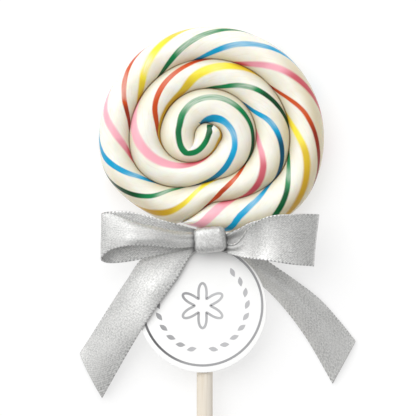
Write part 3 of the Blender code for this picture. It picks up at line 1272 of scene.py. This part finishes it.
@dataclass
class Tag:
    """The round card tag, with its foil print: a ring, a rosette and a wreath of small leaves.

    Args:
        edge: The radius of the card's pressed rim.
        sides: Steps round it.
        ring_centre: The middle of the print.
        ring_radius: The radius of the ring.
        ring_width: The width of the ring's line.
        foil: How far the foil stands out of the card.
        sunk: How far it reaches into the card.
        rosette_radius: The radius of the rosette.
        petals: How many petals it has.
        rosette_width: The width of its line.
        rosette_mean: The middle radius of its line, as a share of the rosette's.
        rosette_swing: How far the line goes out and in from there.
        wreath_radius: The radius of the wreath.
        leaves: How many leaves it has on each side.
        first_leaf: The angle from the bottom to the first leaf of a side, in degrees.
        next_leaf: The angle from leaf to leaf, in degrees.
        leaf_lean: How far a leaf leans out from the arc, in degrees.
        leaf_length: The length of a leaf.
        leaf_width: The width of a leaf.
        card_finish: The card's material.
        ring_finish: The ring's material.
        print_finish: The material of the rosette and the wreath.
    """

    edge: float = 0.12 * MM
    sides: int = 256
    ring_centre: tuple[float, float] = (-2.25 * MM, -41.8 * MM)
    ring_radius: float = 14.95 * MM
    ring_width: float = 0.58 * MM
    foil: float = 0.03 * MM
    sunk: float = 0.05 * MM
    rosette_radius: float = 5.6 * MM
    petals: int = 6
    rosette_width: float = 0.62 * MM
    rosette_mean: float = 0.68
    rosette_swing: float = 0.32
    wreath_radius: float = 11.2 * MM
    leaves: int = 9
    first_leaf: float = 14
    next_leaf: float = 15.5
    leaf_lean: float = 24
    leaf_length: float = 2.5 * MM
    leaf_width: float = 1.15 * MM
    card_finish: CardFinish = CardFinish()
    ring_finish: FoilFinish = FoilFinish("dark silver foil", linear(164, 164, 166), linear(100, 100, 102))
    print_finish: FoilFinish = FoilFinish("pale silver foil", linear(192, 192, 194), linear(156, 156, 158))

    def card(self) -> bpy.types.Object:
        """Turn the card's outline: its flat, its rounded rim and its other flat.

        Returns:
            The card, which stands for the solid.
        """
        low, high = (np.array(corner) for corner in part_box("tag"))
        centre = (low + high) / 2
        radius, half = (high[0] - low[0]) / 2, (high[2] - low[2]) / 2
        bend = np.linspace(0, np.pi / 2, 5)
        flat = np.linspace(0, radius - self.edge, 12)[:-1]
        rim = radius - self.edge + self.edge * np.sin(bend)
        rim_height = half - self.edge + self.edge * np.cos(bend)
        out = np.concatenate([flat, rim, rim[::-1], flat[::-1]])
        upper = np.concatenate([np.full(len(flat), half), rim_height])
        height = np.concatenate([upper, -upper[::-1]])
        around = np.linspace(0, 2 * np.pi, self.sides + 1)
        around[-1] = 0
        x = centre[0] + out[:, None] * np.cos(around)
        y = centre[1] + out[:, None] * np.sin(around)
        points = np.stack([x, y, centre[2] + height[:, None] + 0 * x], -1)
        card = mesh_object("tag_card", [Grid(points)], sharp_over=60)
        card.data.materials.append(self.card_finish.material())
        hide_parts("tag")
        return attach(card, BODY)

    def line(self, path: Array, width: float) -> list[Grid]:
        """Carry a flat line of foil along a closed path in the plane.

        Its section is a low box from under the card's face to just over it, and its sides lie
        half the width to the left and right of the path.

        Args:
            path: Points in the plane, the last the same as the first.
            width: The line's width.

        Returns:
            The surface.
        """
        ahead = np.roll(path[:-1], -1, 0) - np.roll(path[:-1], 1, 0)
        ahead = unit(np.concatenate([ahead, ahead[:1]]))
        left = np.stack([-ahead[:, 1], ahead[:, 0]], -1)
        return [self.stamped(path[:, None] + left[:, None] * np.array([1, -1])[:, None] * width / 2)]

    def stamped(self, flat: Array) -> Grid:
        """Raise a strip given by its left and right edges into a low box.

        Args:
            flat: Points in the plane, as columns by 2 edges by 2.

        Returns:
            The box's surface: up the left edge, over, down the right one and back under.
        """
        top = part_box("tag")[1][2]
        order = [0, 0, 1, 1, 0]
        levels = np.array([-self.sunk, self.foil, self.foil, -self.sunk, -self.sunk]) + top
        plane = flat[:, order]
        height = np.broadcast_to(levels[None, :, None], (*plane.shape[:2], 1))
        return Grid(np.concatenate([plane, height], -1))

    def round_middle(self, around: Array | float, radius: Array | float) -> Array:
        """Find points round the middle of the print.

        Args:
            around: Their angles from +X, in radians.
            radius: Their distances from the middle.

        Returns:
            Points in the plane, one a row.
        """
        x, y = self.ring_centre
        return np.stack([x + radius * np.cos(around), y + radius * np.sin(around)], -1)

    def ring(self) -> list[Grid]:
        """Carry the line round a circle.

        Returns:
            The surface.
        """
        around = np.linspace(0, 2 * np.pi, self.sides + 1)
        return self.line(self.round_middle(around, self.ring_radius), self.ring_width)

    def rosette(self) -> list[Grid]:
        """Carry the line round a flower.

        Its radius is R * (mean + swing * cos(petals * angle)).

        Returns:
            The surface.
        """
        around = np.linspace(0, 2 * np.pi, 4 * self.sides + 1)
        share = self.rosette_mean + self.rosette_swing * np.cos(self.petals * around)
        path = self.round_middle(around + np.pi / 2, self.rosette_radius * share)
        return self.line(path, self.rosette_width)

    def wreath(self) -> list[Grid]:
        """Lay leaves along two arcs that start at the bottom, all leaning out.

        A leaf's half width is w / 2 * sin(pi * t) at the share t of its length.

        Returns:
            One surface a leaf.
        """
        t = np.linspace(0, 1, 15)
        half = self.leaf_width / 2 * np.sin(np.pi * t)
        lean = math.radians(self.leaf_lean)
        leaves = []
        for side in (-1, 1):
            for number in range(self.leaves):
                around = -np.pi / 2 + side * math.radians(self.first_leaf + self.next_leaf * number)
                heading = around + side * (np.pi / 2 - lean)
                ahead = np.array([math.cos(heading), math.sin(heading)])
                left = np.array([-ahead[1], ahead[0]])
                start = self.round_middle(around, self.wreath_radius)
                spine = start + ahead * (t[:, None] - 0.5) * self.leaf_length
                edges = np.stack([spine + left * half[:, None], spine - left * half[:, None]], 1)
                leaves.append(self.stamped(edges))
        return leaves

    def build(self) -> list[bpy.types.Object]:
        """Make the card and the three parts of its print.

        Returns:
            The card, the ring, the rosette and the wreath.
        """
        dark, pale = self.ring_finish.material(), self.print_finish.material()
        made = [self.card()]
        prints = (
            ("foil_ring", self.ring(), dark),
            ("foil_rosette", self.rosette(), pale),
            ("foil_wreath", self.wreath(), pale),
        )
        for name, grids, foil in prints:
            piece = mesh_object(name, grids, sharp_over=40)
            piece.data.materials.append(foil)
            made.append(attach(piece, BODY))
        return made


# Ribbon


@dataclass(frozen=True)
class Band:
    """A stretch of the ribbon between its two edges.

    Args:
        stations: From the knot outwards, the two edges as points in mm, and the arch between
            them.
        columns: Points along it.
        rows: Steps across it.
        pleats: Half waves across it where it is gathered.
        pleat_depth: Their depth where it is gathered most, in metres.
        ripple: The height of its slow waves along the cloth, in metres.
        ripple_length: How far along it a slow wave turns by one radian, in metres.
        ripple_slant: How far a slow wave is ahead at the second edge, in radians.
        phase: Where the waves start, in radians.
        closes: 1 for a loop that comes back to the knot, 0 for a tail.
        cloth_width: The ribbon's width laid flat, in metres.
    """

    stations: tuple[Station, ...]
    columns: int = 230
    rows: int = 34
    pleats: int = 3
    pleat_depth: float = 0.5 * MM
    ripple: float = 0.12 * MM
    ripple_length: float = 5.3 * MM
    ripple_slant: float = 2.2
    phase: float = 0.0
    closes: int = 1
    cloth_width: float = RIBBON_WIDTH_MM * MM

    def surface(self) -> Grid:
        """Work out the middle of the cloth.

        Two smooth edges run through the stations. Between them the cloth is straight, plus an
        arch of 4 t (1 - t) along its normal, with t from edge to edge. Where the edges are
        nearer than the cloth is wide, the missing share squared times a sine across gathers it,
        and slow sines along it give it ripples.

        Returns:
            The surface, with the place on the cloth in mm.
        """
        first = smooth_through(np.array([s[0] for s in self.stations]) * MM, self.columns)
        second = smooth_through(np.array([s[1] for s in self.stations]) * MM, self.columns)
        arch = smooth_through(np.array([[s[2]] for s in self.stations]) * MM, self.columns)
        along = travelled((first + second) / 2)
        span = second - first
        normal = unit(np.cross(np.gradient((first + second) / 2, axis=0), span))
        t = np.linspace(0, 1, self.rows + 1)[None, :]
        missing = np.clip(1 - np.linalg.norm(span, axis=1) / self.cloth_width, 0, 1)[:, None]
        window = 4 * t * (1 - t)
        pleated = np.sin(self.pleats * np.pi * t + self.phase)
        fold = self.pleat_depth * missing**2 * pleated * np.sqrt(window)
        rippled = np.sin(along[:, None] / self.ripple_length + self.ripple_slant * t + self.phase)
        wave = rippled * np.sin(np.pi * t)
        lift = arch * window + fold + self.ripple * wave * (1 - missing)
        points = first[:, None] + span[:, None] * t[..., None] + normal[:, None] * lift[..., None]
        on_cloth = np.broadcast_arrays(along[:, None] / MM, t * self.cloth_width / MM, 0.0)
        return Grid(points, {"cloth": np.stack(on_cloth, -1)})


@dataclass
class RibbonBow:
    """The ribbon: two loops, two tails, the knot and the turn round the stick.

    Args:
        left_loop: The loop to the left of the knot.
        right_loop: The loop to the right of it.
        left_tail: The tail that ends to the left.
        right_tail: The tail that ends to the right.
        half_thickness: Half the cloth's thickness.
        edge_bead: How much thicker the stitched edge is, at each side.
        bead_width: How far in from the edge the bead reaches, in mm.
        tuck_reach: How far from the knot's sides shade is painted on the cloth.
        pocket_reach: How far shade is painted on the back of a loop, into the loop's narrow end.
        pocket_shade: How strong that painted shade is there at the knot, where 1 is as strong
            as beside the knot.
        knot_centre: The middle of the knot.
        knot_half: Its half sizes.
        knot_turn: How far it is turned seen from above, in radians.
        knot_power: The power that rounds its section and its ends.
        girth_power: The power by which it gets thinner towards its ends.
        creases: How fast its creases follow each other from end to end.
        crease_sway: How far they sway on the way round it.
        crease_depth: Their depth, as a share of the knot's half sizes.
        knot_shade: How much shade is painted on the knot's cloth away from its ends.
        end_reach: The share of the knot's half length over which its ends get painted shade.
        wrap_width: The width of the turn round the stick.
        wrap_cloth: The width of woven cloth that it shows, in mm.
        wrap_y: Its place along the stick.
        wrap_half_span: Its half size across.
        wrap_low: Its lowest level.
        wrap_high: Its highest level.
        knot_length: The length of ribbon that the knot takes. Not used.
        finish: Its material.
    """

    left_loop: Band = Band(
        (
            ((-1.6, -23.7, 10.6), (-1.6, -26.7, 10.8), 0.5),
            ((-8.8, -23.2, 12.4), (-8.8, -27.2, 13.0), 1.4),
            ((-14.6, -22.0, 13.7), (-14.6, -26.6, 15.2), 1.6),
            ((-20.2, -20.6, 14.2), (-20.4, -26.6, 15.9), 1.0),
            ((-24.9, -18.9, 12.4), (-24.9, -27.6, 14.2), 0.6),
            ((-27.4, -18.9, 11.2), (-27.5, -29.9, 12.2), 0.0),
            ((-25.4, -18.4, 9.9), (-25.6, -31.0, 9.5), 0.0),
            ((-20.0, -18.4, 10.0), (-20.0, -30.5, 8.9), 0.0),
            ((-11.4, -20.7, 10.3), (-11.4, -28.7, 9.2), 0.0),
            ((-1.6, -23.4, 10.0), (-1.6, -26.9, 9.5), 0.0),
        )
    )
    right_loop: Band = Band(
        (
            ((1.6, -25.6, 10.8), (1.6, -27.8, 10.8), 0.3),
            ((5.9, -26.3, 11.4), (5.2, -28.9, 11.2), 0.4),
            ((9.4, -22.3, 12.9), (8.6, -29.7, 12.5), 0.8),
            ((14.0, -19.6, 15.5), (13.6, -30.3, 14.8), 0.8),
            ((20.6, -19.0, 15.1), (20.0, -31.3, 14.3), 0.3),
            ((25.7, -19.0, 13.4), (24.5, -31.7, 12.9), 0.0),
            ((26.7, -19.1, 11.6), (25.4, -31.8, 11.4), 0.0),
            ((24.8, -19.3, 10.2), (23.6, -31.3, 9.9), 0.0),
            ((17.6, -19.8, 10.1), (17.0, -30.4, 9.0), 0.0),
            ((10.6, -20.8, 10.3), (9.6, -29.2, 9.2), 0.0),
            ((6.2, -22.9, 10.2), (5.6, -28.0, 9.3), 0.0),
            ((1.6, -24.9, 10.0), (1.6, -26.9, 9.5), 0.0),
        ),
        phase=1.1,
    )
    left_tail: Band = Band(
        (
            ((-1.6, -24.2, 9.2), (-0.8, -27.2, 9.2), 0.0),
            ((-9.6, -26.0, 8.3), (-4.9, -28.6, 9.1), 0.4),
            ((-17.2, -30.1, 6.0), (-8.6, -34.7, 8.6), 1.2),
            ((-21.2, -35.6, 5.2), (-12.6, -40.2, 8.6), 1.6),
            ((-25.8, -42.6, 3.0), (-17.0, -46.8, 8.2), 1.4),
            ((-30.6, -50.2, 1.4), (-22.0, -55.2, 5.6), 1.2),
            ((-33.1, -54.0, 0.8), (-27.5, -65.0, 2.2), 0.8),
        ),
        columns=190,
        phase=0.4,
        closes=0,
    )
    right_tail: Band = Band(
        (
            ((1.2, -26.6, 9.2), (1.2, -24.4, 9.4), 0.0),
            ((4.7, -26.9, 6.0), (6.8, -25.3, 7.8), 0.0),
            ((8.2, -33.2, 3.4), (13.6, -30.4, 5.0), 1.2),
            ((14.3, -38.2, 2.2), (21.3, -35.8, 2.4), 2.2),
            ((19.4, -43.8, 1.6), (27.2, -40.4, 1.4), 2.2),
            ((24.6, -51.1, 1.0), (32.1, -45.8, 1.0), 1.8),
            ((30.5, -61.4, 0.8), (36.2, -50.9, 0.8), 0.8),
        ),
        columns=190,
        phase=2.0,
        closes=0,
    )
    half_thickness: float = 0.13 * MM
    edge_bead: float = 0.03 * MM
    bead_width: float = 0.35
    tuck_reach: float = 0.5 * MM
    pocket_reach: float = 6.0 * MM
    pocket_shade: float = 0.55
    knot_centre: tuple[float, float, float] = (-0.4 * MM, -25.3 * MM, 10.4 * MM)
    knot_half: tuple[float, float, float] = (4.1 * MM, 3.25 * MM, 2.6 * MM)
    knot_turn: float = math.radians(6)
    knot_power: float = 0.5
    girth_power: float = 0.4
    creases: float = 7.0
    crease_sway: float = 0.6
    crease_depth: float = 0.025
    knot_shade: float = 0.15
    end_reach: float = 0.05
    wrap_width: float = 1.7 * MM
    wrap_cloth: float = 4.0
    wrap_y: float = -25.25 * MM
    wrap_half_span: float = 2.65 * MM
    wrap_low: float = 2.1 * MM
    wrap_high: float = 8.6 * MM
    knot_length: float = 14.0 * MM
    finish: SatinFinish = SatinFinish()

    def cloth(self, band: Band) -> tuple[list[Grid], float]:
        """Give a band its two sides and its stitched edges.

        The half thickness grows by the bead, which falls as exp(-(d / w)^2) with the distance
        d from the edge over the bead's width w, and rises and falls with the stitches as a sine
        along the edge. The painted shade falls as exp(-(d / r)^2) with the distance d from
        the knot's side, over a short reach r, and over a longer one on the back of a loop.

        Args:
            band: The band.

        Returns:
            The patches, and the band's length in metres.
        """
        surface = band.surface()
        along, across = surface.values["cloth"][..., 0], surface.values["cloth"][..., 1]
        beyond = np.maximum(np.abs(surface.points[..., 0] - self.knot_centre[0]) - self.knot_half[0], 0)
        # Painted shade beside the knot's sides, and on the back of a loop in its narrow end.
        near = np.exp(-((beyond / self.tuck_reach) ** 2))
        on_back = (along > 0.5 * along.max()) * band.closes
        under = self.pocket_shade * np.exp(-((beyond / self.pocket_reach) ** 2)) * on_back
        surface.values["cloth"][..., 2] = np.maximum(near, under)
        from_edge = np.minimum(across, across.max() - across)
        stitched = 0.7 + 0.3 * np.sin(2 * np.pi * along / self.finish.stitch)
        bead = np.exp(-((from_edge / self.bead_width) ** 2)) * stitched
        half = self.half_thickness + self.edge_bead * bead
        return closed_skin(surface, half), float(along.max() * MM)

    def knot(self) -> list[Grid]:
        """Work out the knot, where the ribbon runs over the front.

        It is a rounded box: with a round its long axis and b from end to end, the sizes of
        cos a, sin a and sin b are raised to one power, and that of cos b to another. Shallow
        creases run over it, each a squared cosine of the place from end to end, which sways
        with sin 2 a.

        Returns:
            The surface.
        """
        around = np.linspace(0, 2 * np.pi, 97)
        around[-1] = 0
        end_to_end = np.linspace(-np.pi / 2, np.pi / 2, 65)

        def rounded(value: Array) -> Array:
            """Raise the size of a sine or cosine to the power and keep its sign."""
            return np.sign(value) * np.abs(value) ** self.knot_power

        a, b = np.meshgrid(around, end_to_end, indexing="ij")
        across = rounded(np.sin(b))
        girth = np.abs(np.cos(b)) ** self.girth_power
        waves = np.cos(across * self.creases + self.crease_sway * np.sin(2 * a)) ** 2
        crease = 1 - self.crease_depth * waves * girth
        x = self.knot_half[0] * across
        y = self.knot_half[1] * rounded(np.cos(a)) * girth * crease
        z = self.knot_half[2] * rounded(np.sin(a)) * girth * crease
        c, s = math.cos(self.knot_turn), math.sin(self.knot_turn)
        centre = self.knot_centre
        points = np.stack([centre[0] + c * x - s * y, centre[1] + s * x + c * y, centre[2] + z], -1)
        middle = across.shape[1] // 2
        girth_mm = travelled(points[:, middle])[:, None] / MM + 0 * a
        # Painted shade over the knot, stronger at its ends.
        at_end = np.exp(-(((1 - np.abs(across)) / self.end_reach) ** 2))
        cloth_painted_shade = self.knot_shade + (1 - self.knot_shade) * at_end
        values = np.stack([girth_mm, x / MM + self.finish.width / 2, cloth_painted_shade], -1)
        return [Grid(points, {"cloth": values})]

    def wrap(self) -> list[Grid]:
        """Carry the cloth in an oval round the stick and up into the knot.

        Returns:
            The surface of its two sides and edges.
        """
        around = np.linspace(0, 2 * np.pi, 97)
        middle = (self.wrap_high + self.wrap_low) / 2
        x = centre_of("stick")[0] + self.wrap_half_span * np.cos(around)
        z = middle + (self.wrap_high - self.wrap_low) / 2 * np.sin(around)
        across = np.linspace(-0.5, 0.5, 9)
        y = self.wrap_y + self.wrap_width * across
        points = np.stack(np.broadcast_arrays(x[:, None], y[None, :], z[:, None]), -1)
        along = travelled(np.stack([x, z], -1)) / MM
        on_cloth = self.finish.width / 2 + self.wrap_cloth * across[None, :]
        values = np.stack(np.broadcast_arrays(along[:, None], on_cloth, 0.0), -1)
        return closed_skin(Grid(points, {"cloth": values}), np.full(points.shape[:2], self.half_thickness))

    def build(self) -> bpy.types.Object:
        """Join the bands, the knot and the wrap into one length of ribbon.

        Returns:
            The bow, which stands for the solid.
        """
        patches, length = [*self.knot(), *self.wrap()], 0.0
        for band in (self.left_loop, self.right_loop, self.left_tail, self.right_tail):
            skin, band_length = self.cloth(band)
            patches += skin
            length += band_length
        bow = mesh_object("satin_bow", patches, sharp_over=60)
        bow.data.materials.append(self.finish.material())
        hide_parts("ribbon_bow")
        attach(bow, BODY)
        return bow


def centre_of(node: str) -> Array:
    """Give the middle of a solid's box."""
    low, high = (np.array(corner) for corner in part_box(node))
    return (low + high) / 2


# Studio


@dataclass
class Softbox:
    """A soft lamp that faces a point of the floor.

    Args:
        name: Its name.
        place: Where it stands.
        size: Its width and height.
        power: Its power in watts.
        colour: Its colour.
    """

    name: str
    place: tuple[float, float, float]
    size: tuple[float, float]
    power: float
    colour: Colour = (1.0, 1.0, 1.0)

    def build(self, target: Array) -> bpy.types.Object:
        """Set the lamp up.

        Args:
            target: The point that it faces.

        Returns:
            The lamp.
        """
        lamp = bpy.data.lights.new(self.name, "AREA")
        lamp.shape = "RECTANGLE"
        lamp.size, lamp.size_y = self.size
        lamp.energy = self.power
        lamp.color = self.colour
        thing = bpy.data.objects.new(self.name, lamp)
        bpy.context.scene.collection.objects.link(thing)
        thing.location = self.place
        facing = Vector(target - np.array(self.place))
        thing.rotation_euler = facing.to_track_quat("-Z", "Y").to_euler()
        thing.visible_camera = False
        return thing


@dataclass
class Studio:
    """The floor, the light and the camera.

    Args:
        view_centre: The point of the floor plan in the middle of the picture.
        view_width: The width of the picture at the sharp level.
        sharp_level: The level at which the picture has that width.
        distance: From there up to the camera.
        floor_size: The side of the floor.
        floor_level: Its level, just under the candy.
        air: The brightness of the light from all round.
        lamps: The soft lamps.
        floor_finish: The floor's material.
    """

    view_centre: tuple[float, float] = (-0.875 * MM, -17.375 * MM)
    view_width: float = 104 * MM
    sharp_level: float = 8 * MM
    distance: float = 1.1
    floor_size: float = 4.0
    floor_level: float = -0.05 * MM
    air: float = 0.48
    lamps: tuple[Softbox, ...] = (
        Softbox("wide softbox", (-0.5, 0.68, 1.12), (2.0, 1.5), 22.5),
    )
    floor_finish: FloorFinish = FloorFinish()

    def floor(self) -> bpy.types.Object:
        """Lay the floor as a grid of flat squares.

        Returns:
            The floor.
        """
        side = np.linspace(-self.floor_size / 2, self.floor_size / 2, 5)
        x, y = np.meshgrid(side, side, indexing="ij")
        floor = mesh_object("studio_floor", [Grid(np.stack([x, y, self.floor_level + 0 * x], -1))])
        if floor.data.polygons[0].normal.z < 0:
            floor.data.flip_normals()
        floor.data.materials.append(self.floor_finish.material())
        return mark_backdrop(floor)

    def surroundings(self) -> None:
        """Light the scene evenly from all round."""
        world = bpy.data.worlds.new("studio air")
        world.use_nodes = True
        back = world.node_tree.nodes["Background"]
        back.inputs["Color"].default_value = (1.0, 1.0, 1.0, 1.0)
        back.inputs["Strength"].default_value = self.air
        bpy.context.scene.world = world

    def camera(self) -> bpy.types.Object:
        """Hang the camera over the view's centre, looking straight down.

        Returns:
            The camera.
        """
        lens = bpy.data.cameras.new("overhead camera")
        lens.sensor_width = 36.0
        lens.lens = lens.sensor_width * self.distance / self.view_width
        lens.clip_start, lens.clip_end = 0.01, 20.0
        thing = bpy.data.objects.new("overhead camera", lens)
        bpy.context.scene.collection.objects.link(thing)
        thing.location = (*self.view_centre, self.sharp_level + self.distance)
        bpy.context.scene.camera = thing
        return thing

    def build(self) -> None:
        """Set up the camera, the floor and the light, and show colours as they are."""
        self.camera()
        self.floor()
        self.surroundings()
        target = np.array([*self.view_centre, 0.0])
        for lamp in self.lamps:
            lamp.build(target)
        bpy.context.scene.view_settings.view_transform = "Standard"


def main() -> None:
    """Build the studio and the lollipop, piece by piece."""
    logging.basicConfig(level=logging.INFO, format="%(name)s: %(message)s")
    Studio().build()
    pieces = [CandyHead().build(), Stick().build(), *Tag().build(), RibbonBow().build()]
    for piece in pieces:
        log.info("%s: %d faces", piece.name, len(piece.data.polygons))


if __name__ == "__main__":
    main()
